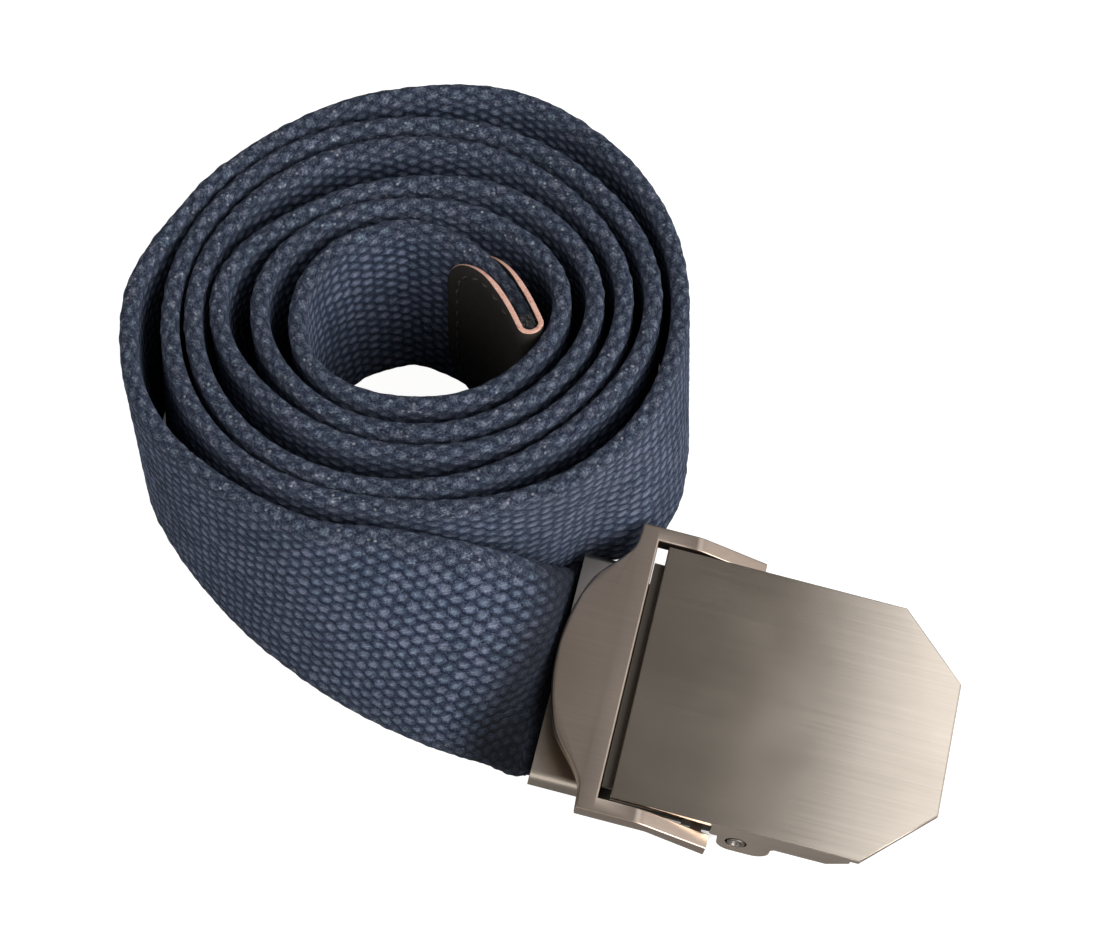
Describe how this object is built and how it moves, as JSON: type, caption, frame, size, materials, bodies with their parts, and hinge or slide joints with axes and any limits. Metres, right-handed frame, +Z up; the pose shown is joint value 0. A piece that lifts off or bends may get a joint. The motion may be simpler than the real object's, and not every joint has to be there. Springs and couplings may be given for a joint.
{
  "type": "work belt",
  "caption": "Woven web work belt, rolled up and standing on its edge, with a leather-wrapped tip and a metal flip buckle whose front plate is a lever.",
  "frame": {"origin": "on the ground, under the middle of the belt's outer box", "axes": "+Z up, out of the roll's top edge; +X towards the buckle's free end, as the buckle lies to the right of the roll; +Y from the buckle's side towards the back of the roll"},
  "size_m": [0.1276, 0.1188, 0.038],
  "materials": {
    "web_cloth": "coarse woven cotton, matte",
    "tip_leather": "smooth black leather, satin, with pale cut edges",
    "brushed_nickel": "brushed along the belt",
    "polished_nickel": "smooth satin"
  },
  "bodies": {
    "belt": {"webbing": "web_cloth", "tip_wrap": "tip_leather", "clamp_base": "polished_nickel", "keeper_frame": "brushed_nickel", "near_rivet": "polished_nickel", "far_rivet": "polished_nickel"},
    "lever": {"front_plate": "brushed_nickel"}
  },
  "joints": [
    {"name": "lever_flip", "type": "hinge", "parent": "belt", "child": "lever", "pos_m": [0.03372, -0.0347, 0.00441], "axis": [-0.2252, -0.974, -0.0243], "range_deg": [0, 15]}
  ]
}
